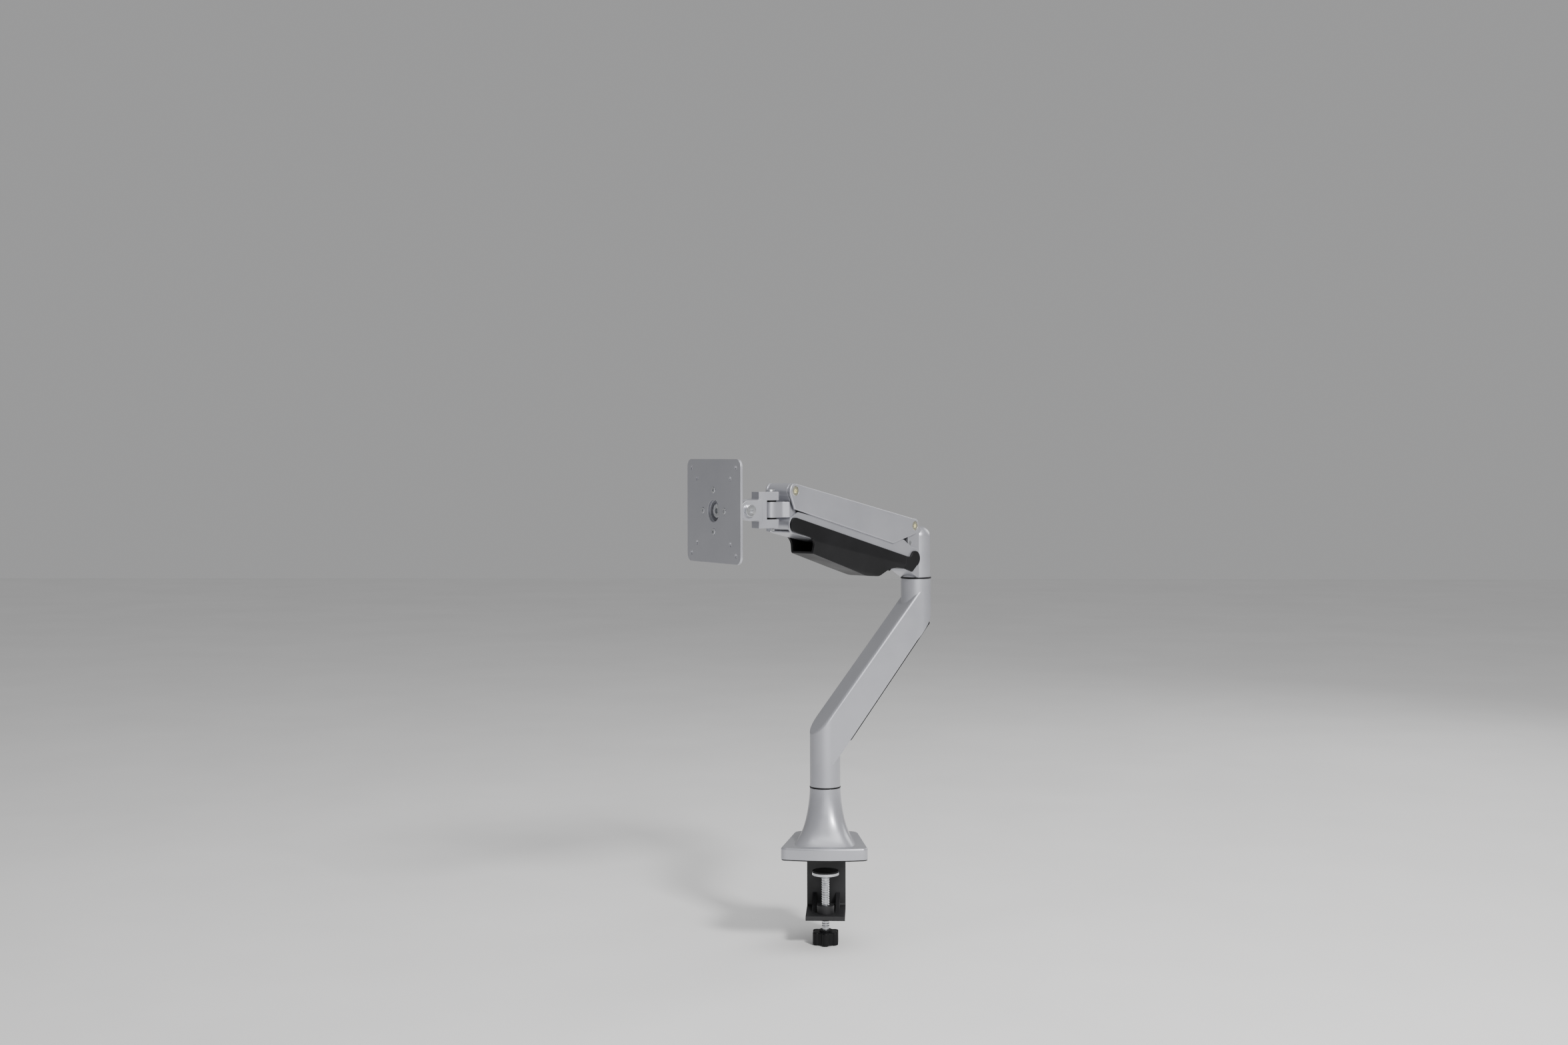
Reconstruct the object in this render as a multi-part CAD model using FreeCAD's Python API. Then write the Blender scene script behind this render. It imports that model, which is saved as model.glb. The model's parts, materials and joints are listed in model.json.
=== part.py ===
import FreeCAD, Part
import math
import os

from FreeCAD import Placement, Rotation, Vector

# Monitor arm on a desk clamp. Row frame: origin on the desk top under the base column, +Z up,
# -Y towards the user and +Y towards the rear edge of the desk. Lengths in millimetres, angles in degrees.

# How the arm is set: directions seen from above, and the upper arm's rise towards the monitor.
LOWER_YAW = 26.0
UPPER_YAW = 233.2
HEAD_YAW = 215.4
RISE = 11.4

# Clearances
RUNNING = 0.05          # radial clearance of a pin or spindle in its bushing
SEAT = 0.02             # radial gap of a part pressed into its seat

# Base and column
PAD_THICK = 1.5
FOOT_TOP = 16.0
COLUMN_TOP = 82.5
RING_THICK = 2.0
RING_R = 19.8
SPINDLE_R = 12.0
BUSH_R = 14.0

# Desk clamp
CLAMP_BACK = 50.0       # desk edge side of the clamp's upright
PLATE_THICK = 5.0
CLAMP_HALF_WIDTH = 25.0
CLAMP_FOOT = -85.0
SCREW_Y = 8.0
SCREW_R = 5.0
DESK_THICK = 25.0       # desk held in the stored pose

# Lower arm
REACH = 130.0           # base axis to elbow axis
POST_R = 19.4
LOWER_BASE = COLUMN_TOP + RING_THICK
ELBOW_RING = 344.5
TOP_SLOPE = 1.23        # rise per millimetre of the bar's upper face
TOP_START = 152.4       # height where that face leaves the lower post's front
BAR_ROUND = 4.0         # rounding of the bar's upper edges
UNDER_SLOPE = 1.285
UNDER_START = 133.0     # height where the underside meets the lower post's back

# Upper arm
UPPER_BASE = ELBOW_RING + RING_THICK
BRACKET_R = 18.7
PIVOT_S = 28.5          # elbow axis to the rear top pivot
PIVOT_BACK = 2.0        # the bottom pivots lie this far behind the top ones
TOP_PIVOT_Z = 413.8
PIVOT_DROP = 39.0       # between the top and the bottom pivots
LINK = 247.0            # between the rear and the front pivots
BARREL_R = 9.2
BARREL_HALF = 13.9      # half width of the bracket and of the knuckle
BUSHING_END = 8.0       # the bushings fill each barrel from here to its ends
INNER_WALL = (14.2, 16.7)
OUTER_WALL = (17.0, 19.5)
COVER_WALL = (16.72, 19.5)
PIN_R = 4.0
HEAD_R = 5.8
ANCHOR = (3.0, -22.0)   # gas spring anchor from the rear top pivot, forward and up
SPRING_FRONT = (205.0, -8.0)

# Head
SWIVEL_S = 23.5         # front top pivot to the swivel axis
SWIVEL_BELOW = 22.0     # front top pivot to the middle of the swivel barrel
BARREL_HALF_HEIGHT = 9.15
WASHER_THICK = 2.2
PRONG_THICK = 10.0
PRONG_HALF = 8.0
TILT_X = 38.0
HUB_BACK = 60.0
PLATE_FRONT = 78.0
PLATE_SIZE = 120.0
VESA_SPACINGS = (75.0, 100.0)
VESA_HOLE_R = 2.5


def rounded_face(corners):
    """A flat face in XY. Each corner is (x, y, radius)."""
    edges, ends = [], []
    count = len(corners)
    for i, (x, y, radius) in enumerate(corners):
        here = Vector(x, y, 0)
        back = (Vector(*corners[i - 1][:2], 0) - here).normalize()
        ahead = (Vector(*corners[(i + 1) % count][:2], 0) - here).normalize()
        if radius == 0:
            ends.append((here, here))
            continue
        half = back.getAngle(ahead) / 2
        run = radius / math.tan(half)
        middle = (back + ahead).normalize() * (radius / math.sin(half) - radius)
        ends.append((here + back * run, here + ahead * run))
        edges.append(Part.Arc(ends[-1][0], here + middle, ends[-1][1]).toShape())
    for i in range(count):
        start, end = ends[i][1], ends[(i + 1) % count][0]
        if start.distanceToPoint(end) > 1e-6:
            edges.append(Part.LineSegment(start, end).toShape())
    return Part.Face(Part.Wire(Part.__sortEdges__(edges)))


def flat_prism(corners, low, high):
    """An outline seen from above, between two heights."""
    face = rounded_face(corners)
    face.translate(Vector(0, 0, low))
    return face.extrude(Vector(0, 0, high - low))


def side_prism(corners, right, left):
    """An outline in the XZ plane, between two values of Y."""
    face = rounded_face(corners)
    face.translate(Vector(0, 0, -left))
    solid = face.extrude(Vector(0, 0, left - right))
    solid.rotate(Vector(), Vector(1, 0, 0), 90)
    return solid


def front_prism(corners, back, front):
    """An outline in the YZ plane, between two values of X."""
    solid = flat_prism(corners, back, front)
    solid.Placement = Placement(Vector(), Rotation(Vector(0, 1, 0), Vector(0, 0, 1), Vector(1, 0, 0), "ZXY"))
    return solid


def block(x, y, z):
    """A box from three (low, high) pairs."""
    return Part.makeBox(x[1] - x[0], y[1] - y[0], z[1] - z[0], Vector(x[0], y[0], z[0]))


def post(radius, low, high, x=0.0, y=0.0):
    return Part.makeCylinder(radius, high - low, Vector(x, y, low))


def cross_bar(radius, x, z, right, left):
    """A cylinder along Y."""
    return Part.makeCylinder(radius, left - right, Vector(x, right, z), Vector(0, 1, 0))


def forward_bar(radius, back, front, y=0.0, z=0.0):
    """A cylinder along X."""
    return Part.makeCylinder(radius, front - back, Vector(back, y, z), Vector(1, 0, 0))


def hexagon(across, low, high):
    radius = across / math.sqrt(3)
    corners = [(radius * math.cos(math.radians(a)), radius * math.sin(math.radians(a)), 0)
               for a in range(0, 360, 60)]
    return flat_prism(corners, low, high)


def turned(points):
    """A solid of revolution about Z from (radius, height) points."""
    wire = Part.makePolygon([Vector(r, 0, z) for r, z in points + points[:1]])
    return Part.Face(wire).revolve(Vector(), Vector(0, 0, 1), 360)


def aimed(shape, origin, direction):
    """Move a shape built along +Z from the origin so that it runs along a direction."""
    moved = shape.copy()
    moved.Placement = Placement(origin, Rotation(Vector(0, 0, 1), direction))
    return moved


def socket_bolt(shaft_r, shaft_length, head_r, head_thick, socket, soft=0.5):
    """A bolt along +Z: shaft from 0 to its length, and a head below 0 with a hex socket in its end."""
    head = Part.makeCylinder(head_r, head_thick, Vector(0, 0, -head_thick))
    rim = [e for e in head.Edges if abs(e.CenterOfMass.z + head_thick) < 1e-6]
    head = head.makeFillet(soft, rim)
    solid = head.fuse(Part.makeCylinder(shaft_r, shaft_length)).removeSplitter()
    return solid.cut(hexagon(socket, -head_thick - 1, -head_thick * 0.3))


def sleeve(outer, inner, low, high):
    return post(outer, low, high).cut(post(inner, low - 1, high + 1))


def soften(shape, radius, wanted):
    """Round the edges that a test picks."""
    return shape.makeFillet(radius, [e for e in shape.Edges if wanted(e)])


def merge(first, *others):
    return first.fuse(list(others)).removeSplitter()


def frame_at(x, y, z, yaw, rise=0.0):
    """A local frame: x forward along the yaw and raised by the rise, y to the left, z up."""
    flat = Placement(Vector(x, y, z), Rotation(Vector(0, 0, 1), yaw))
    return flat * Placement(Vector(), Rotation(Vector(0, -1, 0), rise))


def along(yaw, distance):
    angle = math.radians(yaw)
    return distance * math.cos(angle), distance * math.sin(angle)


# Places of the local frames
ELBOW_X, ELBOW_Y = along(LOWER_YAW, REACH)
REAR_X, REAR_Y = [e + d for e, d in zip((ELBOW_X, ELBOW_Y), along(UPPER_YAW, PIVOT_S))]
UNDER_X, UNDER_Y = [e + d for e, d in zip((ELBOW_X, ELBOW_Y), along(UPPER_YAW, PIVOT_S - PIVOT_BACK))]
LINK_OUT = LINK * math.cos(math.radians(RISE))
LINK_UP = LINK * math.sin(math.radians(RISE))
FRONT_S = PIVOT_S + LINK_OUT
HEAD_X, HEAD_Y = [e + d for e, d in zip((ELBOW_X, ELBOW_Y), along(UPPER_YAW, FRONT_S + SWIVEL_S))]
FRONT_TOP_Z = TOP_PIVOT_Z + LINK_UP
HEAD_Z = FRONT_TOP_Z - SWIVEL_BELOW

BASE = frame_at(0, 0, 0, 0)
CLAMP = frame_at(0, 0, 0, 90)
LOWER = frame_at(0, 0, 0, LOWER_YAW)
UPPER = frame_at(ELBOW_X, ELBOW_Y, 0, UPPER_YAW)
TOP_LINK = frame_at(REAR_X, REAR_Y, TOP_PIVOT_Z, UPPER_YAW, RISE)
BOTTOM_LINK = frame_at(UNDER_X, UNDER_Y, TOP_PIVOT_Z - PIVOT_DROP, UPPER_YAW, RISE)
KNUCKLE = UPPER * Placement(Vector(FRONT_S, 0, FRONT_TOP_Z), Rotation())
HEAD = frame_at(HEAD_X, HEAD_Y, HEAD_Z, HEAD_YAW)

# The gas spring's line, from its front pin to the anchor, in the upper arm's upright frame
SPRING_PIN = Rotation(Vector(0, -1, 0), RISE).multVec(Vector(SPRING_FRONT[0], 0, SPRING_FRONT[1]))
SPRING_LINE = Vector(ANCHOR[0], 0, ANCHOR[1]) - SPRING_PIN
SPRING_LENGTH = SPRING_LINE.Length
SPRING_RISE = math.degrees(math.atan2(-SPRING_LINE.z, -SPRING_LINE.x))
SPRING = (UPPER * Placement(Vector(PIVOT_S, 0, TOP_PIVOT_Z) + SPRING_PIN, Rotation())
          * Placement(Vector(), Rotation(Vector(0, -1, 0), SPRING_RISE)))


# ---------------------------------------------------------------- base and clamp

def flare(z):
    """The column's half width, half depth, squareness and taper: round at the top, boxy on the foot."""
    left = (COLUMN_TOP - z) / (COLUMN_TOP - FOOT_TOP + 1.5)
    half_x = 19.5 + 2.0 * left + 11.5 * left ** 2 + 4.0 * left ** 8
    half_y = 19.5 + 1.5 * left + 23.0 * left ** 2 + 7.0 * left ** 8
    squareness = 2.0 + 0.6 * left + 2.4 * left ** 4
    return half_x, half_y, squareness, 0.14 * left ** 3


def oval_wire(half_x, half_y, squareness, taper, height, count=40):
    """A superellipse: squareness 2 is a plain ellipse. The taper widens its front and narrows its back."""
    points = []
    for i in range(count):
        angle = 2 * math.pi * i / count
        c, s = math.cos(angle), math.sin(angle)
        radius = (abs(c / half_x) ** squareness + abs(s / half_y) ** squareness) ** (-1 / squareness)
        points.append(Vector(radius * c * (1 - taper * radius * s / half_y), radius * s, height))
    curve = Part.BSplineCurve()
    curve.interpolate(points, PeriodicFlag=True)
    return Part.Wire([curve.toShape()])


def foot_outline(inset=0.0, rear=58.0):
    """The foot from above: a bowed front and a narrower back."""
    side, back = 55.0 - inset, 40.0 - inset
    front = -53.0 + inset
    return [(-side, front, 8.0), (0, front - 10.0, 220.0), (side, front, 8.0),
            (back, rear - inset, 14.0), (-back, rear - inset, 14.0)]


def base_housing():
    foot = flat_prism(foot_outline(), PAD_THICK, FOOT_TOP)
    foot = soften(foot, 2.5, lambda e: abs(e.BoundBox.ZMin - FOOT_TOP) < 1e-6)
    heights = [FOOT_TOP - 1.5, FOOT_TOP + 1.0, 18.5, 22.5, 27.0, 32.5, 39.0, 47.0, 56.0, 66.0, 76.0, COLUMN_TOP]
    column = Part.makeLoft([oval_wire(*flare(z), z) for z in heights], True, False)
    body = merge(foot, column)
    tab = block((-CLAMP_HALF_WIDTH - 0.2, CLAMP_HALF_WIDTH + 0.2), (SCREW_Y - 0.2, 55.2), (0, 6.6))
    body = body.cut(tab)
    body = body.cut(post(20.0, 0, 34.0)).cut(post(SPINDLE_R + SEAT, 30, COLUMN_TOP + 1))
    for x, y in bracket_bolt_places():
        body = body.cut(post(3.0 + SEAT, 0, 14.5, x, y))
    return body


def bracket_bolt_places():
    return [(-17.0, 30.0), (17.0, 30.0), (-17.0, 44.0), (17.0, 44.0)]


def base_pad():
    return flat_prism(foot_outline(0.4, CLAMP_BACK - 1.6), 0, PAD_THICK)


def bracket_bolts():
    bolts = []
    for x, y in bracket_bolt_places():
        cone = turned([(0, PAD_THICK), (5.5, PAD_THICK), (3.0, PAD_THICK + 2.5), (3.0, 14.0), (0, 14.0)])
        cone = cone.cut(hexagon(4.0, PAD_THICK - 1, PAD_THICK + 1.6))
        cone.translate(Vector(x, y, 0))
        bolts.append(cone)
    return Part.makeCompound(bolts)


def clamp_bracket():
    """A bent plate: a tab under the foot, an upright behind the desk, and an arm under the desk."""
    back, front = CLAMP_BACK + PLATE_THICK, SCREW_Y
    top = PAD_THICK + PLATE_THICK
    outline = [(front, PAD_THICK, 0), (CLAMP_BACK, PAD_THICK, 1.5), (CLAMP_BACK, CLAMP_FOOT + 6, 3.0),
               (-12.0, CLAMP_FOOT + 6, 0), (-12.0, CLAMP_FOOT, 1.5), (back, CLAMP_FOOT, 7.0),
               (back, top, 4.0), (front, top, 0)]
    plate = side_prism(outline, -CLAMP_HALF_WIDTH, CLAMP_HALF_WIDTH)
    boss = post(11.0, CLAMP_FOOT, -69.0, SCREW_Y, 0)
    rib = [(SCREW_Y, CLAMP_FOOT + 5, 0), (CLAMP_BACK + 1, CLAMP_FOOT + 5, 0), (CLAMP_BACK + 1, -62.0, 0)]
    ribs = [side_prism(rib, y - 2.5, y + 2.5) for y in (-15.0, 15.0)]
    body = merge(plate, boss, *ribs).cut(post(SCREW_R + 0.1, CLAMP_FOOT - 1, -60, SCREW_Y, 0))
    for x, y in bracket_bolt_places():
        hole = turned([(0, 0), (5.5 + 2.5 * 0.6 + SEAT, 0), (3.0 + SEAT, PAD_THICK + 2.5 + SEAT),
                       (3.0 + SEAT, 8), (0, 8)])
        hole.translate(Vector(y, -x, 0))
        body = body.cut(hole)
    return body


def clamp_disc():
    low = -DESK_THICK - 8.0
    disc = turned([(0, low + 6), (17.0, low + 6), (17.0, low + 3), (9.0, low), (4.0, low), (4.0, low + 4.0),
                   (0, low + 4.0)])
    disc.translate(Vector(SCREW_Y, 0, 0))
    return disc


def clamp_disc_pad():
    return post(16.5, -DESK_THICK - 2.0, -DESK_THICK, SCREW_Y, 0)


def clamp_screw():
    """Threaded rod with a plain tip that turns in the disc; fine grooves stand for the thread."""
    tip, bottom, pitch = -DESK_THICK - 8.0, -106.0, 3.0
    points = [(0, tip + 3.7), (3.7, tip + 3.7), (3.7, tip - 0.5), (SCREW_R - 0.4, tip - 1.0)]
    height = tip - 2.0
    while height > CLAMP_FOOT - 12.0:
        points += [(SCREW_R, height), (SCREW_R, height - 1.0), (SCREW_R - 0.7, height - 1.6),
                   (SCREW_R - 0.7, height - 2.2)]
        height -= pitch
    points += [(SCREW_R - 0.7, bottom), (0, bottom)]
    screw = turned(points)
    screw.translate(Vector(SCREW_Y, 0, 0))
    return screw


def clamp_knob():
    low, high = -118.0, -102.0
    lobes = [post(5.0, low, high, *along(a, 13.0)) for a in range(0, 360, 60)]
    knob = merge(post(14.5, low, high), *lobes)
    knob = soften(knob, 1.2, lambda e: min(abs(e.BoundBox.ZMin - high), abs(e.BoundBox.ZMax - low)) < 1e-6)
    knob = merge(knob, post(8.0, high - 1, high + 2.0)).cut(post(SCREW_R - 0.7 + SEAT, -106.0, high + 3))
    knob.translate(Vector(SCREW_Y, 0, 0))
    return knob


def base_spindle():
    shaft = post(SPINDLE_R, 29.0, 146.0)
    shaft = soften(shaft, 1.0, lambda e: abs(e.BoundBox.ZMin - 146.0) < 1e-6)
    return merge(shaft, post(19.0, 29.0, 34.0)).cut(post(7.0, 28.0, 150.0))


def swivel_ring(height):
    ring = sleeve(RING_R, SPINDLE_R + 0.3, height, height + RING_THICK)
    return soften(ring, 0.5, lambda e: e.BoundBox.XMax > RING_R - 1e-3)


# ---------------------------------------------------------------- lower arm

def upper_face(u):
    return TOP_START + (u + POST_R) * TOP_SLOPE


def under_face(u):
    return UNDER_START + (u - POST_R) * UNDER_SLOPE


def under_frame():
    """Frame on the bar's underside: x up along the bar, z into it."""
    start = 27.1
    angle = math.degrees(math.atan(UNDER_SLOPE))
    return Placement(Vector(start, 0, under_face(start)), Rotation(Vector(0, -1, 0), angle))


COVER_LENGTH = 186.0


def lower_arm():
    above = side_prism([(-60, upper_face(-60), 0), (REACH, upper_face(REACH), 0), (-60, 500, 0)], -30, 30)
    below = side_prism([(60, under_face(60), 0), (190, under_face(190), 0), (190, 100, 0)], -30, 30)
    lower_post = post(POST_R, LOWER_BASE, 215.0).cut(above)
    lower_post = soften(lower_post, BAR_ROUND, lambda e: e.BoundBox.ZMin > 140.0 and e.BoundBox.YLength > 30)
    upper_post = post(POST_R, 260.0, ELBOW_RING, REACH).cut(below)
    upper_post = soften(upper_post, 2.0, lambda e: e.BoundBox.ZMax < 320.0 and e.BoundBox.YLength > 30)
    bar = side_prism([(0, upper_face(0), 0), (REACH, upper_face(REACH), 0), (REACH, under_face(REACH), 0),
                      (0, under_face(0), 0)], -POST_R, POST_R)
    bar = soften(bar, BAR_ROUND, lambda e: e.Length > 150 and e.CenterOfMass.z > 240.0)
    bar = soften(bar, 2.0, lambda e: e.Length > 150 and e.CenterOfMass.z < 200.0)
    body = merge(lower_post, bar, upper_post)
    channel = block((7.5, COVER_LENGTH - 7.5), (-12, 12), (-1, 24))
    channel.Placement = under_frame()
    body = body.cut(channel)
    body = body.cut(post(BUSH_R + SEAT, LOWER_BASE - 1, 148.0))
    body = body.cut(post(SPINDLE_R + SEAT, 306.0, ELBOW_RING + 1, REACH))
    for height, x in ((100.0, 0.0), (326.0, REACH)):
        body = body.cut(cross_bar(2.5 + SEAT, x, height, SPINDLE_R + 1.0, POST_R + 1))
    return body


def lower_cable_cover():
    plate = flat_prism([(0, -16.5, 3), (COVER_LENGTH, -16.5, 3), (COVER_LENGTH, 16.5, 3), (0, 16.5, 3)],
                       -2.2, -SEAT)
    plate = soften(plate, 0.9, lambda e: abs(e.BoundBox.ZMax + 2.2) < 1e-6)
    rim = block((8, COVER_LENGTH - 8), (-11.8, 11.8), (-0.5, 4)).cut(
        block((10, COVER_LENGTH - 10), (-9.8, 9.8), (0.5, 5)))
    cover = merge(plate, rim)
    cover.Placement = under_frame()
    return cover


def bushing(low, high):
    return sleeve(BUSH_R, SPINDLE_R + RUNNING, low, high)


def lock_screw(height, x, inner, outer):
    screw = cross_bar(2.5, x, height, inner, outer)
    key = aimed(hexagon(2.5, 0, 2.5), Vector(x, outer - 2.0, height), Vector(0, 1, 0))
    return screw.cut(key)


def elbow_spindle():
    shaft = post(SPINDLE_R, 306.0, 396.0, REACH)
    shaft = soften(shaft, 1.0, lambda e: abs(e.BoundBox.ZMin - 396.0) < 1e-6)
    return shaft.cut(post(7.0, 305.0, 397.0, REACH))


def elbow_ring():
    ring = swivel_ring(ELBOW_RING)
    ring.translate(Vector(REACH, 0, 0))
    return ring


# ---------------------------------------------------------------- rear bracket

def bracket_pivots():
    return [(PIVOT_S, TOP_PIVOT_Z), (PIVOT_S - PIVOT_BACK, TOP_PIVOT_Z - PIVOT_DROP)]


def knuckle_pivots():
    return [(0.0, 0.0), (-PIVOT_BACK, -PIVOT_DROP)]


def anchor_place():
    return PIVOT_S + ANCHOR[0], TOP_PIVOT_Z + ANCHOR[1]


def rear_bracket():
    """A post on the elbow with a flat nose that carries both rear pivots."""
    tower = post(BRACKET_R, UPPER_BASE, 412.0)
    tower = soften(tower, 13.0, lambda e: abs(e.BoundBox.ZMin - 412.0) < 1e-6)
    nose = PIVOT_S + BARREL_R
    outline = [(0, UPPER_BASE, 0), (15.0, UPPER_BASE, 3.0), (nose - PIVOT_BACK - 0.7, 356.5, 6.0),
               (nose, TOP_PIVOT_Z + BARREL_R, BARREL_R - 0.05), (17.0, TOP_PIVOT_Z + BARREL_R, 8.0),
               (9.0, 408.4, 4.0), (0, 408.4, 0)]
    body = merge(tower, side_prism(outline, -BARREL_HALF, BARREL_HALF))
    anchor_x, anchor_z = anchor_place()
    cavity = side_prism([(20.0, 380.0, 4), (60.0, 380.0, 0), (60.0, 404.0, 0), (20.0, 404.0, 4)], -7.5, 7.5)
    body = body.cut(cavity)
    body = body.cut(post(BUSH_R + SEAT, UPPER_BASE - 1, 398.0))
    body = body.cut(cross_bar(3.0 + SEAT, anchor_x, anchor_z, -20, 20))
    for x, z in bracket_pivots():
        body = body.cut(barrel_bore(x, z))
    back_screw = Part.makeCylinder(2.5 + SEAT, 12, Vector(-SPINDLE_R, 0, 370.0), Vector(-1, 0, 0))
    return body.cut(back_screw)


def elbow_lock_screw():
    screw = Part.makeCylinder(2.5, 4.0, Vector(-BUSH_R - 0.2, 0, 370.0), Vector(-1, 0, 0))
    key = aimed(hexagon(2.5, 0, 2.5), Vector(-BUSH_R - 2.7, 0, 370.0), Vector(-1, 0, 0))
    return screw.cut(key)


def barrel_bore(x, z):
    """The hole across a barrel: wider at both ends for the bushings."""
    ends = [cross_bar(PIN_R + 1.5 + SEAT, x, z, *sorted((side * BUSHING_END, side * 20))) for side in (-1, 1)]
    return merge(cross_bar(PIN_R + 0.3, x, z, -20, 20), *ends)


def barrel_bushings(x, z):
    hole = cross_bar(PIN_R + RUNNING, x, z, -20, 20)
    return [cross_bar(PIN_R + 1.5, x, z, *sorted((side * BUSHING_END, side * BARREL_HALF))).cut(hole)
            for side in (-1, 1)]


def bracket_bushings():
    top, bottom = [barrel_bushings(x, z) for x, z in bracket_pivots()]
    return Part.makeCompound(top + bottom)


def anchor_pin():
    x, z = anchor_place()
    return cross_bar(3.0, x, z, -BARREL_HALF, BARREL_HALF)


# ---------------------------------------------------------------- links

def top_link():
    """An upside-down channel whose walls stand outside the bottom link."""
    outer, inner = OUTER_WALL[1], OUTER_WALL[0]
    roof = 8.6
    outline = [(-9.0, roof, 8.6), (LINK + 9.7, roof, 8.6), (LINK + 9.7, -3.9, 8.0), (243.5, -21.6, 2.0),
               (41.2, -29.4, 3.0), (-1.5, -10.4, 6.0), (-9.0, -6.0, 5.0)]
    body = side_prism(outline, -outer, outer)
    body = soften(body, 1.2, lambda e: abs(abs(e.BoundBox.YMin) - outer) < 1e-6 and e.BoundBox.YLength < 1e-6)
    body = body.cut(block((-30, 280), (-inner, inner), (-60, roof - 2.5)))
    for x in ((-30, 11.5), (LINK - 11.5, 280)):
        body = body.cut(block(x, (-inner, inner), (-20, 20)))
    bosses = []
    for x in (0, LINK):
        for side in (-1, 1):
            low, high = sorted((side * (BARREL_HALF + 0.3), side * (inner + 0.5)))
            bosses.append(cross_bar(8.5, x, 0, low, high))
    body = merge(body, *bosses)
    for x in (0, LINK):
        body = body.cut(cross_bar(PIN_R + SEAT, x, 0, -30, 30))
        for side in (-1, 1):
            low, high = sorted((side * 15.8, side * 30))
            body = body.cut(cross_bar(HEAD_R + 0.1, x, 0, low, high))
    x, z = SPRING_FRONT
    return body.cut(cross_bar(PIN_R + SEAT, x, z, -18.0, 18.0))


def pivot_bolt(x):
    """A pivot bolt with its socket head on the left side of the link."""
    bolt = socket_bolt(PIN_R, 31.4, HEAD_R, 3.3, 5.0)
    bolt = bolt.cut(Part.makeCylinder(2.0 + SEAT, 12.0, Vector(0, 0, 21.0)))
    return aimed(bolt, Vector(x, 15.9, 0), Vector(0, -1, 0))


def bolt_caps():
    """Short screws that close the right-hand ends of the two pivot bolts."""
    caps = []
    for x in (0, LINK):
        cap = socket_bolt(2.0, 9.0, HEAD_R, 3.2, 5.0)
        caps.append(aimed(cap, Vector(x, -15.9, 0), Vector(0, 1, 0)))
    return Part.makeCompound(caps)


def spring_front_pin():
    x, z = SPRING_FRONT
    return cross_bar(PIN_R, x, z, -17.8, 17.8)


def bottom_link():
    """An open channel between the top link's walls."""
    inner, outer = INNER_WALL
    outline = [(-10.2, -10.2, 10.0), (30.0, -12.0, 20.0), (LINK + 10.2, -12.0, 10.2), (LINK + 10.2, 3.6, 8.0),
               (244.5, 14.6, 2.0), (27.0, 17.0, 4.0), (10.0, 10.6, 8.0), (-10.2, 10.2, 9.8)]
    body = side_prism(outline, -outer, outer)
    body = body.cut(side_prism([(-40, -9.6, 0), (300, -9.6, 0), (300, 40, 0), (-40, 40, 0)], -inner, inner))
    body = body.cut(block((-40, 22.0), (-inner, inner), (-20, 40)))
    body = body.cut(block((LINK + 4.0, 300), (-inner, inner), (-20, 40)))
    for x in (0, LINK):
        body = body.cut(cross_bar(PIN_R + SEAT, x, 0, -30, 30))
    return body


def bottom_pin(x):
    return cross_bar(PIN_R, x, 0, -INNER_WALL[1], INNER_WALL[1])


def cover_section(outer, floor, corner):
    """The cover across the arm: upright sides, then tapering to a narrower rounded floor."""
    waist = -14.0
    narrow = outer - 4.6
    return [(-outer, 30.0, 0), (-outer, waist, 12.0), (-narrow, floor, corner), (narrow, floor, corner),
            (outer, waist, 12.0), (outer, 30.0, 0)]


def cable_cover():
    """A trough under the bottom link, open at its front mouth and at its back end."""
    seam, wall, belly = 20.0, 2.3, -39.4
    outline = [(seam, -19.4, 0), (37.0, -20.2, 12.0), (52.0, -25.0, 18.0), (68.0, -36.2, 16.0),
               (92.0, belly, 60.0), (206.6, -29.4, 2.5), (208.2, -11.6, 10.5), (239.0, -10.6, 6.0),
               (LINK + 9.6, -9.4, 8.2), (LINK + 9.6, 7.4, 8.0), (232.0, 6.4, 30.0), (seam, -3.0, 0)]
    solid = side_prism(outline, -30, 30)
    solid = solid.common(front_prism(cover_section(COVER_WALL[1], belly - 1.2, 7.0), 0, 300))
    trough = [(0, -19.4 + wall, 0), (36.0, -20.2 + wall, 12.0), (51.0, -25.0 + wall, 18.0),
              (67.5, -36.2 + wall, 16.0), (92.0, belly + wall, 60.0), (212.0, -28.9 + wall, 0),
              (212.0, -16.0, 0), (300.0, -16.0, 0), (300.0, 40.0, 0), (0, 40.0, 0)]
    hollow = side_prism(trough, -30, 30)
    hollow = hollow.common(front_prism(cover_section(COVER_WALL[0], belly + 1.4, 6.0), -5, 305))
    return solid.cut(hollow)


def end_cap(side):
    """A cheek beside the rear pivot that carries on from the cable cover."""
    outline = [(19.7, -19.3, 0), (3.5, -20.8, 1.5), (-8.6, -7.0, 4.0), (-8.0, 2.0, 0), (8.0, 2.0, 0),
               (10.5, -2.5, 1.5), (19.7, -3.0, 0)]
    low, high = sorted((side * COVER_WALL[0], side * COVER_WALL[1]))
    cheek = merge(side_prism(outline, low, high), cross_bar(9.8, 0, -3.0, low, high))
    return soften(cheek, 0.8, lambda e: abs(abs(e.BoundBox.YMin) - COVER_WALL[1]) < 1e-6
                  and e.BoundBox.YLength < 1e-6)


# ---------------------------------------------------------------- gas spring (x forward along it)

CYLINDER_R = 10.0
ROD_R = 3.5
CYLINDER_BACK = -138.0


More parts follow.
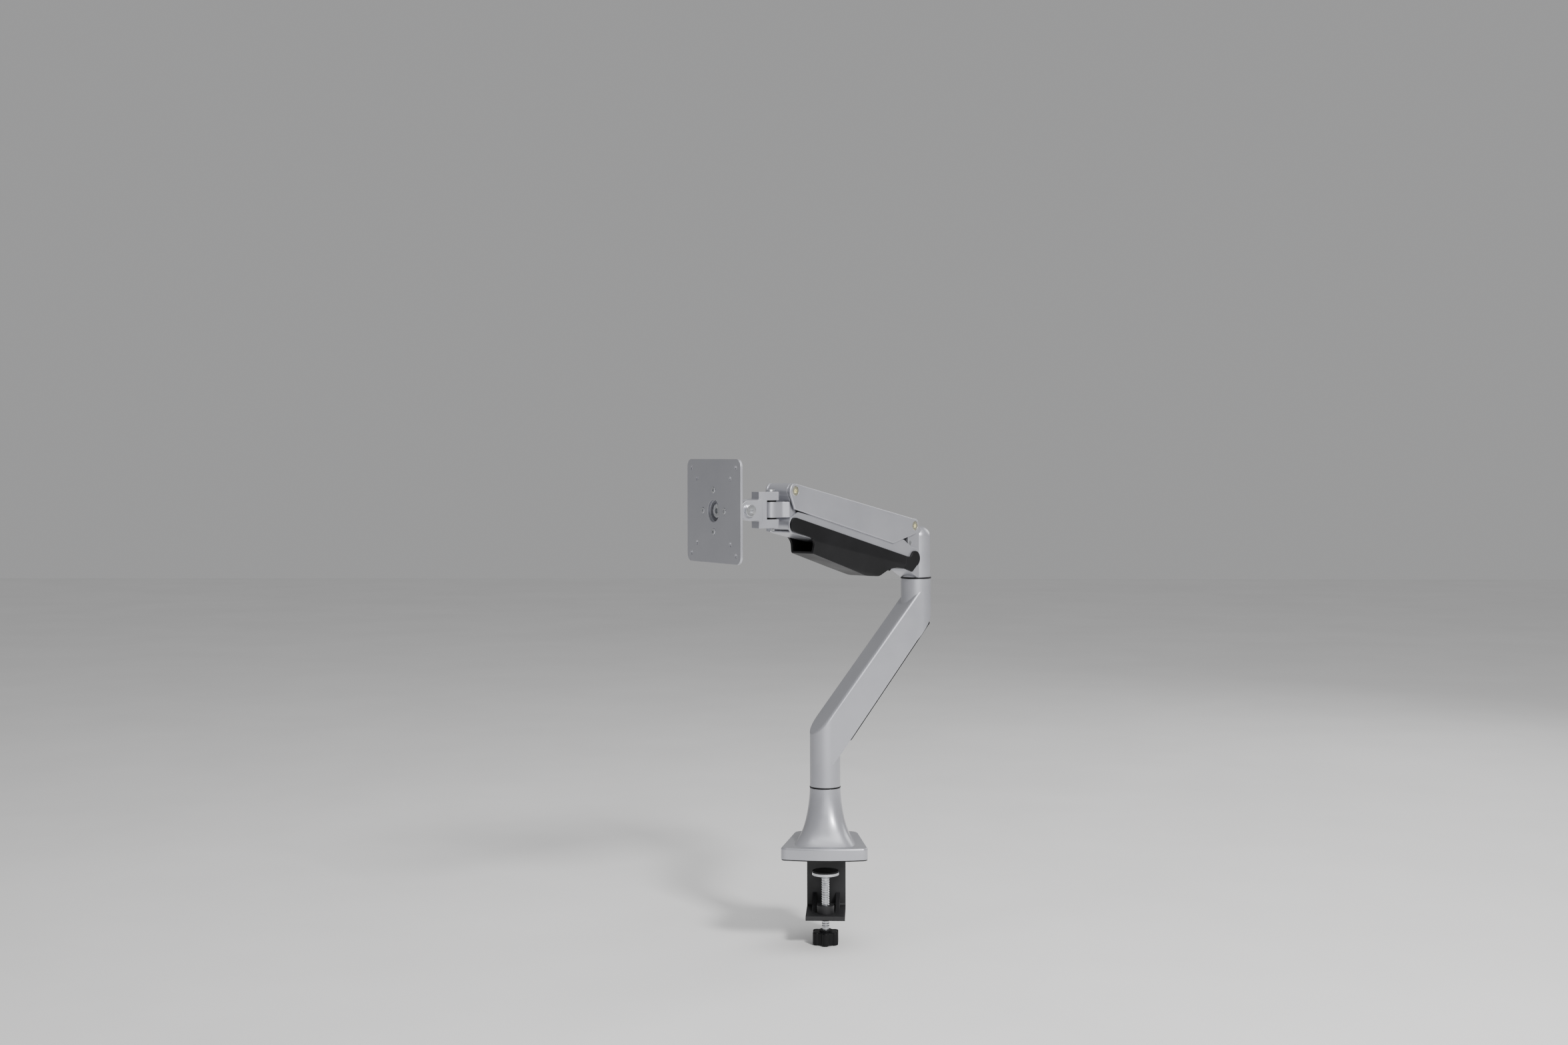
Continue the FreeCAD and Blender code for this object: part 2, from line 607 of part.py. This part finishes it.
def gas_cylinder():
    tube = forward_bar(CYLINDER_R, CYLINDER_BACK, -12.0)
    tube = soften(tube, 1.5, lambda e: e.BoundBox.XLength < 1e-6)
    bore = forward_bar(ROD_R + RUNNING, CYLINDER_BACK - 1, -40.0)
    eye = side_prism([(-13, -5, 0), (7.0, -7.0, 6.0), (7.0, 7.0, 6.0), (-13, 5, 0)], -6.0, 6.0)
    return merge(tube.cut(bore), eye).cut(cross_bar(PIN_R + RUNNING, 0, 0, -20, 20))


def gas_gland():
    ring = forward_bar(8.0, CYLINDER_BACK - 4.0, CYLINDER_BACK - SEAT)
    return ring.cut(forward_bar(ROD_R + RUNNING, -200, 0))


def gas_rod():
    return forward_bar(ROD_R, -SPRING_LENGTH + 7.6, -60.0)


def rod_eye():
    """The rod's end: its slotted hole lets the anchor pin shift as the arm rises and falls."""
    x = -SPRING_LENGTH
    rise = 5.0
    outline = [(x - 6.3, -6.5, 6.2), (x + 7.5, -6.5, 3.0), (x + 7.5, 6.0 + rise, 3.0), (x - 6.3, 6.0 + rise, 6.2)]
    slot = [(x - 3.6, -3.5, 3.5), (x + 3.6, -3.5, 3.5), (x + 3.6, 3.5 + rise, 3.5), (x - 3.6, 3.5 + rise, 3.5)]
    return side_prism(outline, -6.0, 6.0).cut(side_prism(slot, -10, 10))


# ---------------------------------------------------------------- front knuckle (origin at the top pivot)

def front_knuckle():
    half = BARREL_HALF
    web = side_prism([(-6.5, 2.0, 0), (-5.5, -18.0, 12.0), (-8.5, -PIVOT_DROP, 0), (6.6, -PIVOT_DROP, 0),
                      (3.0, -30.0, 7.0), (3.6, -12.0, 7.0), (8.4, 0, 0)], -half, half)
    barrels = [cross_bar(radius, x, z, -half, half)
               for radius, (x, z) in zip((BARREL_R, BARREL_R - 0.2), knuckle_pivots())]
    low, high = -SWIVEL_BELOW - BARREL_HALF_HEIGHT, -SWIVEL_BELOW + BARREL_HALF_HEIGHT
    neck = flat_prism([(-2.0, -half, 0), (5.0, -half, 2.0), (11.5, -8.0, 5.0), (SWIVEL_S, -8.0, 0),
                       (SWIVEL_S, 8.0, 0), (11.5, 8.0, 5.0), (5.0, half, 2.0), (-2.0, half, 0)], low, high)
    body = merge(web, neck, post(8.0, low, high, SWIVEL_S), *barrels)
    for x, z in knuckle_pivots():
        body = body.cut(barrel_bore(x, z))
    return body.cut(post(4.4 + SEAT, low - 1, high + 1, SWIVEL_S))


def knuckle_bushings():
    top, bottom = [barrel_bushings(x, z) for x, z in knuckle_pivots()]
    return Part.makeCompound(top + bottom)


def swivel_bushing():
    tube = sleeve(4.4, 3.2 + RUNNING, -SWIVEL_BELOW - BARREL_HALF_HEIGHT, -SWIVEL_BELOW + BARREL_HALF_HEIGHT)
    tube.translate(Vector(SWIVEL_S, 0, 0))
    return tube


# ---------------------------------------------------------------- head (origin in the swivel barrel)

PRONG_LOW = BARREL_HALF_HEIGHT + WASHER_THICK
PRONG_HIGH = PRONG_LOW + PRONG_THICK


def swivel_clevis():
    """Two flat prongs over the swivel barrel, and two ears that hold the tilt block."""
    prong = [(-7.6, -PRONG_HALF, 1.8), (14.0, -PRONG_HALF, 0), (14.0, PRONG_HALF, 0), (-7.6, PRONG_HALF, 1.8)]
    top = flat_prism(prong, PRONG_LOW, PRONG_HIGH)
    bottom = flat_prism(prong, -PRONG_HIGH, -PRONG_LOW)
    wall = block((9.8, 21.0), (-PRONG_HALF, PRONG_HALF), (-PRONG_HIGH, PRONG_HIGH))
    yoke = side_prism([(20.3, -13.5, 0), (26.5, -12.0, 0), (26.5, 12.0, 0), (20.3, 13.5, 0)], -14.5, 14.5)
    ear = [(20.3, -12.0, 2), (TILT_X + 12.0, -12.0, 11.9), (TILT_X + 12.0, 12.0, 11.9), (20.3, 12.0, 2)]
    ears = [side_prism(ear, *sorted((side * 9.3, side * 14.5))) for side in (-1, 1)]
    body = merge(top, bottom, wall, yoke, *ears)
    body = body.cut(post(3.2 + SEAT, -40, 40))
    return body.cut(cross_bar(PIN_R + SEAT, TILT_X, 0, -30, 30))


def swivel_washers():
    rings = [sleeve(7.0, 3.3, -PRONG_LOW + SEAT, -BARREL_HALF_HEIGHT - SEAT),
             sleeve(7.0, 3.3, BARREL_HALF_HEIGHT + SEAT, PRONG_LOW - SEAT)]
    return Part.makeCompound(rings)


def swivel_bolt():
    """Vertical bolt with a low round head on top."""
    bolt = socket_bolt(3.2, 47.0, 5.6, 2.6, 4.0, 1.2)
    return aimed(bolt, Vector(0, 0, PRONG_HIGH), Vector(0, 0, -1))


def swivel_nut():
    return hexagon(9.5, -PRONG_HIGH - 3.8, -PRONG_HIGH).cut(post(3.2 + SEAT, -40, 0))


def tilt_bolt():
    bolt = socket_bolt(PIN_R, 33.5, 7.0, 4.0, 5.0)
    return aimed(bolt, Vector(TILT_X, 14.5, 0), Vector(0, -1, 0))


def tilt_nut():
    nut = aimed(hexagon(12.0, 0, 4.0), Vector(TILT_X, -14.5, 0), Vector(0, -1, 0))
    return nut.cut(cross_bar(PIN_R + SEAT, TILT_X, 0, -30, 0))


def tilt_washers():
    rings = []
    for side in (-1, 1):
        low, high = sorted((side * (8.1 + SEAT), side * (9.3 - SEAT)))
        rings.append(cross_bar(10.5, TILT_X, 0, low, high).cut(cross_bar(PIN_R + 0.1, TILT_X, 0, -30, 30)))
    return Part.makeCompound(rings)


def tilt_block():
    """A barrel on the tilt bolt and a round flange in front that carries the rotation hub."""
    barrel = cross_bar(11.0, TILT_X, 0, -8.1, 8.1)
    neck = side_prism([(TILT_X, -9.0, 0), (55.5, -9.0, 0), (55.5, 9.0, 0), (TILT_X, 9.0, 0)], -8.1, 8.1)
    flange = forward_bar(20.0, 55.0, HUB_BACK)
    flange = soften(flange, 1.0, lambda e: e.BoundBox.XLength < 1e-6)
    body = merge(barrel, neck, flange)
    body = body.cut(cross_bar(PIN_R + RUNNING, TILT_X, 0, -30, 30))
    return body.cut(forward_bar(4.0 + RUNNING, 51.0, 70.0))


def hub_washer():
    return forward_bar(19.0, HUB_BACK + SEAT, HUB_BACK + 1.2).cut(forward_bar(4.3, 50, 70))


def vesa_hub():
    """A turned hub between the friction washer and the plate."""
    back, front = HUB_BACK + 1.2 + SEAT, PLATE_FRONT - 3.0
    hub = turned([(4.0 + SEAT, back), (19.0, back), (20.0, back + 1), (20.0, back + 6.0), (30.0, front - 3.0),
                  (30.0, front), (12.0, front), (12.0, front - 6.0), (4.0 + SEAT, front - 6.0)])
    hub = aimed(hub, Vector(), Vector(1, 0, 0))
    for y, z in hub_screw_places():
        hub = hub.cut(forward_bar(2.0 + SEAT, front - 5.0, front + 1, y, z))
    return hub


def hub_screw_places():
    return [along(angle, 24.0) for angle in (0, 90, 180, 270)]


def hub_screws():
    screws = []
    for y, z in hub_screw_places():
        screw = aimed(socket_bolt(2.0, 4.6, 3.6, 1.9, 2.5), Vector(PLATE_FRONT - 2.0 + 1.9 - 1.0, y, z),
                      Vector(-1, 0, 0))
        screws.append(screw)
    return Part.makeCompound(screws)


def hub_bolt():
    """Centre bolt through the hub and into the flange, with its head sunk in the hub."""
    seat = PLATE_FRONT - 9.0
    bolt = socket_bolt(4.0, 17.5, 8.0, 5.0, 6.0)
    return aimed(bolt, Vector(seat, 0, 0), Vector(-1, 0, 0))


def vesa_plate():
    half, back = PLATE_SIZE / 2, PLATE_FRONT - 3.0
    corners = [(y * half, z * half, 9.0) for y, z in ((-1, -1), (1, -1), (1, 1), (-1, 1))]
    plate = front_prism(corners, back, PLATE_FRONT)
    plate = plate.cut(forward_bar(13.0, back - 1, PLATE_FRONT + 1))
    for spacing in VESA_SPACINGS:
        for y in (-spacing / 2, spacing / 2):
            for z in (-spacing / 2, spacing / 2):
                plate = plate.cut(forward_bar(VESA_HOLE_R, back - 1, PLATE_FRONT + 1, y, z))
    for y, z in hub_screw_places():
        plate = plate.cut(forward_bar(2.1, back - 1, PLATE_FRONT + 1, y, z))
        plate = plate.cut(forward_bar(3.8, PLATE_FRONT - 2.0 - 0.1, PLATE_FRONT + 1, y, z))
    return plate


# ---------------------------------------------------------------- the assembly

NODES = {
    "base_housing": (base_housing(), BASE),
    "base_pad": (base_pad(), BASE),
    "bracket_bolts": (bracket_bolts(), BASE),
    "clamp_bracket": (clamp_bracket(), CLAMP),
    "base_spindle": (base_spindle(), BASE),
    "base_swivel_ring": (swivel_ring(COLUMN_TOP), BASE),
    "clamp_disc": (clamp_disc(), CLAMP),
    "clamp_disc_pad": (clamp_disc_pad(), CLAMP),
    "clamp_screw": (clamp_screw(), CLAMP),
    "clamp_knob": (clamp_knob(), CLAMP),
    "lower_arm": (lower_arm(), LOWER),
    "lower_cable_cover": (lower_cable_cover(), LOWER),
    "base_bushing": (bushing(LOWER_BASE + 0.3, 144.0), LOWER),
    "base_lock_screw": (lock_screw(100.0, 0.0, BUSH_R + 0.2, POST_R - 0.6), LOWER),
    "elbow_grub_screw": (lock_screw(326.0, REACH, SPINDLE_R + 1.2, POST_R - 0.6), LOWER),
    "elbow_spindle": (elbow_spindle(), LOWER),
    "elbow_ring": (elbow_ring(), LOWER),
    "rear_bracket": (rear_bracket(), UPPER),
    "elbow_bushing": (bushing(UPPER_BASE + 0.3, 395.0), UPPER),
    "elbow_lock_screw": (elbow_lock_screw(), UPPER),
    "bracket_bushings": (bracket_bushings(), UPPER),
    "anchor_pin": (anchor_pin(), UPPER),
    "top_link": (top_link(), TOP_LINK),
    "top_rear_bolt": (pivot_bolt(0), TOP_LINK),
    "top_front_bolt": (pivot_bolt(LINK), TOP_LINK),
    "top_bolt_caps": (bolt_caps(), TOP_LINK),
    "spring_front_pin": (spring_front_pin(), TOP_LINK),
    "bottom_link": (bottom_link(), BOTTOM_LINK),
    "bottom_rear_pin": (bottom_pin(0), BOTTOM_LINK),
    "bottom_front_pin": (bottom_pin(LINK), BOTTOM_LINK),
    "cable_cover": (cable_cover(), BOTTOM_LINK),
    "end_cap_left": (end_cap(1), BOTTOM_LINK),
    "end_cap_right": (end_cap(-1), BOTTOM_LINK),
    "gas_cylinder": (gas_cylinder(), SPRING),
    "gas_gland": (gas_gland(), SPRING),
    "gas_rod": (gas_rod(), SPRING),
    "rod_eye": (rod_eye(), SPRING),
    "front_knuckle": (front_knuckle(), KNUCKLE),
    "knuckle_bushings": (knuckle_bushings(), KNUCKLE),
    "swivel_bushing": (swivel_bushing(), KNUCKLE),
    "swivel_clevis": (swivel_clevis(), HEAD),
    "swivel_washers": (swivel_washers(), HEAD),
    "swivel_bolt": (swivel_bolt(), HEAD),
    "swivel_nut": (swivel_nut(), HEAD),
    "tilt_bolt": (tilt_bolt(), HEAD),
    "tilt_nut": (tilt_nut(), HEAD),
    "tilt_washers": (tilt_washers(), HEAD),
    "tilt_block": (tilt_block(), HEAD),
    "hub_washer": (hub_washer(), HEAD),
    "vesa_hub": (vesa_hub(), HEAD),
    "hub_screws": (hub_screws(), HEAD),
    "hub_bolt": (hub_bolt(), HEAD),
    "vesa_plate": (vesa_plate(), HEAD),
}

os.makedirs("parts", exist_ok=True)
for name, (shape, frame) in NODES.items():
    placed = shape.copy()
    placed.Placement = frame * placed.Placement
    placed.exportStep("parts/" + name + ".step")
    solids = placed.Solids
    print(f"{name:20s} {len(solids)} solids  valid {placed.isValid()}  volume {placed.Volume / 1000:9.2f} cm3")
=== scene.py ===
import json
import math

import bpy
from mathutils import Euler, Matrix, Vector


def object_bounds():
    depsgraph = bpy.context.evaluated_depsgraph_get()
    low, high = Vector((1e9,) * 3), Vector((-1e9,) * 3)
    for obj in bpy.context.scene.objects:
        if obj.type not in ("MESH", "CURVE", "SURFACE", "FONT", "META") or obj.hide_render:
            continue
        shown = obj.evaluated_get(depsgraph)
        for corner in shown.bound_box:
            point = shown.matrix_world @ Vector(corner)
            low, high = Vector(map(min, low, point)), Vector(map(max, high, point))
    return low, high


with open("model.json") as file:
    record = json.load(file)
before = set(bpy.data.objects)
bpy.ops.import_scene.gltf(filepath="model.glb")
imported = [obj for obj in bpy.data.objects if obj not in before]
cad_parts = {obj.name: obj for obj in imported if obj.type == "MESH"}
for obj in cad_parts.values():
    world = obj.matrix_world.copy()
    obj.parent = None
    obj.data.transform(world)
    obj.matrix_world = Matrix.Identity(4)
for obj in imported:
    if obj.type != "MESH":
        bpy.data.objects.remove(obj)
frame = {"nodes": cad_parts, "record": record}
cad_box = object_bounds()

# The camera: place in metres, turns in degrees, shift as a part of the picture's width.
CAMERA_AT = (0.06107, -2.43245, 0.50899)
CAMERA_YAW = 2.647
CAMERA_ROLL = -0.126
SENSOR_WIDTH_MM = 36.0
LENS_MM = 43.9591837
SHIFT_DOWN = 0.0451530612
CLIP_NEAR, CLIP_FAR = 0.05, 60.0

# The studio, in metres and watts.
FLOOR_SIZE = 14.0
FLOOR_GAP = 0.0005
WORLD_COLOUR = (0.90, 0.90, 0.905, 1)
WORLD_STRENGTH = 0.40
WHITE = (1.0, 1.0, 1.0)
LIGHTS = (
    # name, place, target, size, power, colour
    ("key", (1.4, -2.1, 1.9), (0.0, 0.0, 0.20), (0.45, 0.45), 84.0, (1.0, 0.99, 0.98)),
    ("overhead", (0.4, -0.5, 2.4), (0.0, 0.0, 0.30), (1.4, 1.4), 26.0, WHITE),
    ("front", (0.6, -2.6, 0.7), (0.0, 0.0, 0.30), (1.8, 1.2), 10.0, (0.97, 0.98, 1.0)),
    ("rim", (1.6, 1.7, 1.3), (0.0, 0.0, 0.30), (1.2, 1.2), 10.0, WHITE),
)

# Sockets of a Mix node that mixes colours.
MIX_FACTOR, MIX_FIRST, MIX_SECOND, MIX_RESULT = 0, 6, 7, 2
BEVEL_SAMPLES = 4


# ------------------------------------------------------------------ node helpers

class Finish:
    """A Principled material whose nodes are added one by one."""

    def __init__(self, name, metallic=0.0, **constants):
        self.material = bpy.data.materials.new(name)
        self.material.use_nodes = True
        self.nodes = self.material.node_tree.nodes
        self.links = self.material.node_tree.links
        self.shader = self.nodes["Principled BSDF"]
        self.shader.inputs["Metallic"].default_value = metallic
        for socket, value in constants.items():
            self.shader.inputs[socket.replace("_", " ")].default_value = value
        self.place = self.nodes.new("ShaderNodeTexCoord").outputs["Object"]

    def stretched(self, scale, turn=(0.0, 0.0, 0.0)):
        """Object coordinates turned and scaled, for grain that runs one way."""
        mapping = self.nodes.new("ShaderNodeMapping")
        mapping.inputs["Rotation"].default_value = turn
        mapping.inputs["Scale"].default_value = scale
        self.links.new(self.place, mapping.inputs["Vector"])
        return mapping.outputs["Vector"]

    def noise(self, scale, detail=3.0, rough=0.55, place=None):
        node = self.nodes.new("ShaderNodeTexNoise")
        node.inputs["Scale"].default_value = scale
        node.inputs["Detail"].default_value = detail
        node.inputs["Roughness"].default_value = rough
        self.links.new(place or self.place, node.inputs["Vector"])
        return node.outputs["Fac"]

    def cells(self, scale):
        node = self.nodes.new("ShaderNodeTexVoronoi")
        node.inputs["Scale"].default_value = scale
        self.links.new(self.place, node.inputs["Vector"])
        return node

    def ramp(self, source, *stops):
        """Colours or greys along a 0-1 value: each stop is (position, value)."""
        node = self.nodes.new("ShaderNodeValToRGB")
        elements = node.color_ramp.elements
        while len(elements) < len(stops):
            elements.new(0.5)
        for element, (position, value) in zip(elements, stops):
            element.position = position
            element.color = (*value, 1) if isinstance(value, tuple) else (value, value, value, 1)
        self.links.new(source, node.inputs["Fac"])
        return node.outputs["Color"]

    def mix(self, factor, first, second, blend="MIX"):
        node = self.nodes.new("ShaderNodeMix")
        node.data_type = "RGBA"
        node.blend_type = blend
        for index, value in ((MIX_FACTOR, factor), (MIX_FIRST, first), (MIX_SECOND, second)):
            socket = node.inputs[index]
            if isinstance(value, bpy.types.NodeSocket):
                self.links.new(value, socket)
            elif isinstance(value, tuple):
                socket.default_value = (*value, 1)
            else:
                socket.default_value = value
        return node.outputs[MIX_RESULT]

    def spread(self, source, low, high, start=0.3, end=0.7):
        """A 0-1 value stretched between two numbers."""
        node = self.nodes.new("ShaderNodeMapRange")
        node.inputs["From Min"].default_value = start
        node.inputs["From Max"].default_value = end
        node.inputs["To Min"].default_value = low
        node.inputs["To Max"].default_value = high
        self.links.new(source, node.inputs["Value"])
        return node.outputs["Result"]

    def bump(self, height, strength, depth, under=None):
        node = self.nodes.new("ShaderNodeBump")
        node.inputs["Strength"].default_value = strength
        node.inputs["Distance"].default_value = depth
        self.links.new(height, node.inputs["Height"])
        if under is not None:
            self.links.new(under, node.inputs["Normal"])
        return node.outputs["Normal"]

    def edges(self, radius, start=0.97, end=0.80):
        """The rounded normal, and a 0-1 mask of the places next to a sharp edge."""
        rounded = self.nodes.new("ShaderNodeBevel")
        rounded.samples = BEVEL_SAMPLES
        rounded.inputs["Radius"].default_value = radius
        geometry = self.nodes.new("ShaderNodeNewGeometry")
        match = self.nodes.new("ShaderNodeVectorMath")
        match.operation = "DOT_PRODUCT"
        self.links.new(rounded.outputs["Normal"], match.inputs[0])
        self.links.new(geometry.outputs["Normal"], match.inputs[1])
        return rounded.outputs["Normal"], self.spread(match.outputs["Value"], 0.0, 1.0, start, end)

    def set(self, colour=None, roughness=None, normal=None):
        for socket, value in (("Base Color", colour), ("Roughness", roughness), ("Normal", normal)):
            if value is not None:
                self.links.new(value, self.shader.inputs[socket])
        return self.material


def silver_paint():
    """Metallic paint: fine flakes, slight orange peel, faint handling marks and a painted highlight along
    sharp edges, broken up by noise.
    """
    f = Finish("silver_paint", 0.62, Coat_Weight=0.55, Coat_Roughness=0.13, Specular_IOR_Level=0.5)
    flakes = f.cells(5200.0)
    tone = f.ramp(f.noise(14.0, 3.0), (0.30, (0.425, 0.430, 0.468)), (0.70, (0.475, 0.480, 0.516)))
    spark = f.ramp(flakes.outputs["Color"], (0.0, 0.84), (1.0, 1.0))
    colour = f.mix(1.0, tone, spark, "MULTIPLY")
    marks = f.ramp(f.noise(55.0, 8.0, 0.7), (0.60, 0.0), (0.74, 1.0))
    colour = f.mix(f.spread(marks, 0.0, 0.14, 0.0, 1.0), colour, (0.34, 0.345, 0.37))
    rounded, edge = f.edges(0.0008)
    # Painted highlight: the colour is lightened next to sharp edges, broken up by noise.
    painted_edge_highlight = f.mix(1.0, edge, f.ramp(f.noise(90.0, 6.0, 0.65), (0.35, 0.15), (0.65, 0.75)), "MULTIPLY")
    colour = f.mix(painted_edge_highlight, colour, (0.60, 0.605, 0.62))
    roughness = f.spread(f.noise(38.0, 6.0, 0.6), 0.32, 0.42)
    peel = f.bump(f.noise(520.0, 2.0), 0.10, 0.00006, rounded)
    grain = f.bump(flakes.outputs["Distance"], 0.06, 0.00002, peel)
    return f.set(colour, roughness, grain)


def black_plastic():
    """Moulded plastic: a fine spark-eroded grain, shinier worn patches and a painted sheen along the
    edges.
    """
    f = Finish("black_plastic", 0.0, Specular_IOR_Level=0.20)
    colour = f.ramp(f.noise(24.0, 5.0), (0.30, (0.0040, 0.0040, 0.0045)), (0.72, (0.0075, 0.0075, 0.0085)))
    rounded, edge = f.edges(0.0007)
    # Painted highlight: the colour is lightened next to sharp edges, standing in for sheen.
    colour = f.mix(edge, colour, (0.030, 0.030, 0.032))
    roughness = f.spread(f.noise(16.0, 4.0), 0.34, 0.48)
    grain = f.bump(f.cells(1500.0).outputs["Distance"], 0.22, 0.00008, rounded)
    fine = f.bump(f.noise(3400.0, 3.0), 0.18, 0.00004, grain)
    return f.set(colour, roughness, fine)


def black_paint():
    """Textured powder coat."""
    f = Finish("black_paint", 0.1, Specular_IOR_Level=0.5)
    colour = f.ramp(f.noise(40.0, 4.0), (0.30, (0.012, 0.012, 0.013)), (0.70, (0.020, 0.020, 0.022)))
    roughness = f.spread(f.noise(90.0, 5.0), 0.44, 0.60)
    return f.set(colour, roughness, f.bump(f.noise(1100.0, 5.0, 0.65), 0.45, 0.00012))


def rubber():
    f = Finish("rubber", 0.0, Specular_IOR_Level=0.3)
    colour = f.ramp(f.noise(60.0, 6.0), (0.30, (0.012, 0.012, 0.012)), (0.70, (0.024, 0.024, 0.025)))
    roughness = f.spread(f.noise(140.0, 3.0), 0.72, 0.90)
    return f.set(colour, roughness, f.bump(f.cells(900.0).outputs["Distance"], 0.4, 0.00015))


def grey_nylon():
    f = Finish("grey_nylon", 0.0, Specular_IOR_Level=0.45)
    colour = f.ramp(f.noise(70.0, 4.0), (0.30, (0.240, 0.245, 0.250)), (0.70, (0.300, 0.305, 0.310)))
    return f.set(colour, f.spread(f.noise(200.0), 0.38, 0.52), f.bump(f.noise(1500.0), 0.15, 0.00004))


def plated(name, dark, light, low, high):
    """Plated steel: cloudy plating colour over fine turning marks."""
    f = Finish(name, 1.0)
    cloud = f.noise(170.0, 5.0, 0.62)
    colour = f.ramp(cloud, (0.32, dark), (0.66, light))
    stain = f.ramp(f.noise(420.0, 6.0, 0.7), (0.58, 0.0), (0.72, 1.0))
    colour = f.mix(f.spread(stain, 0.0, 0.35, 0.0, 1.0), colour, tuple(c * 0.7 for c in dark))
    roughness = f.spread(f.noise(260.0, 6.0), low, high)
    lines = f.noise(900.0, 3.0, 0.6, f.stretched((1.0, 1.0, 9.0)))
    return f.set(colour, roughness, f.bump(lines, 0.18, 0.00004))


MATERIALS = {
    "silver_paint": silver_paint(),
    "black_plastic": black_plastic(),
    "black_paint": black_paint(),
    "rubber": rubber(),
    "grey_nylon": grey_nylon(),
    "yellow_zinc": plated("yellow_zinc", (0.60, 0.57, 0.40), (0.86, 0.84, 0.66), 0.20, 0.34),
    "steel": plated("steel", (0.46, 0.47, 0.49), (0.68, 0.69, 0.71), 0.22, 0.36),
}

for entry in frame["record"]["subparts"]:
    piece = frame["nodes"].get(entry["node"])
    if piece is not None:
        piece.data.materials.clear()
        piece.data.materials.append(MATERIALS[entry["material_slot"]])


# ------------------------------------------------------------------ floor, light and camera

def floor_material():
    f = Finish("floor", 0.0, Specular_IOR_Level=0.25)
    colour = f.ramp(f.noise(3.0, 3.0), (0.3, (0.88, 0.878, 0.875)), (0.7, (0.92, 0.918, 0.915)))
    return f.set(colour, f.spread(f.noise(8.0), 0.55, 0.70))


def make_floor():
    mesh = bpy.data.meshes.new("floor")
    half, height = FLOOR_SIZE / 2, cad_box[0].z - FLOOR_GAP
    corners = [(-half, -half, height), (half, -half, height), (half, half, height), (-half, half, height)]
    mesh.from_pydata(corners, [], [(0, 1, 2, 3)])
    floor = bpy.data.objects.new("floor", mesh)
    floor.data.materials.append(floor_material())
    bpy.context.scene.collection.objects.link(floor)


def area_light(name, at, target, size, power, colour):
    data = bpy.data.lights.new(name, "AREA")
    data.shape = "RECTANGLE"
    data.size, data.size_y = size
    data.energy = power
    data.color = colour
    light = bpy.data.objects.new(name, data)
    light.location = at
    light.rotation_mode = "QUATERNION"
    light.rotation_quaternion = (Vector(target) - Vector(at)).to_track_quat("-Z", "Y")
    bpy.context.scene.collection.objects.link(light)


def make_world():
    world = bpy.data.worlds.new("studio")
    world.use_nodes = True
    background = world.node_tree.nodes["Background"]
    background.inputs["Color"].default_value = WORLD_COLOUR
    background.inputs["Strength"].default_value = WORLD_STRENGTH
    bpy.context.scene.world = world


def make_camera():
    data = bpy.data.cameras.new("camera")
    data.sensor_fit = "HORIZONTAL"
    data.sensor_width = SENSOR_WIDTH_MM
    data.lens = LENS_MM
    data.shift_y = -SHIFT_DOWN
    data.clip_start, data.clip_end = CLIP_NEAR, CLIP_FAR
    camera = bpy.data.objects.new("camera", data)
    camera.location = CAMERA_AT
    level = Euler((math.radians(90), 0, math.radians(CAMERA_YAW))).to_matrix()
    roll = Matrix.Rotation(math.radians(CAMERA_ROLL), 3, "Z")
    camera.rotation_euler = (level @ roll).to_euler()
    bpy.context.scene.collection.objects.link(camera)
    bpy.context.scene.camera = camera


make_floor()
make_world()
make_camera()
for light in LIGHTS:
    area_light(*light)
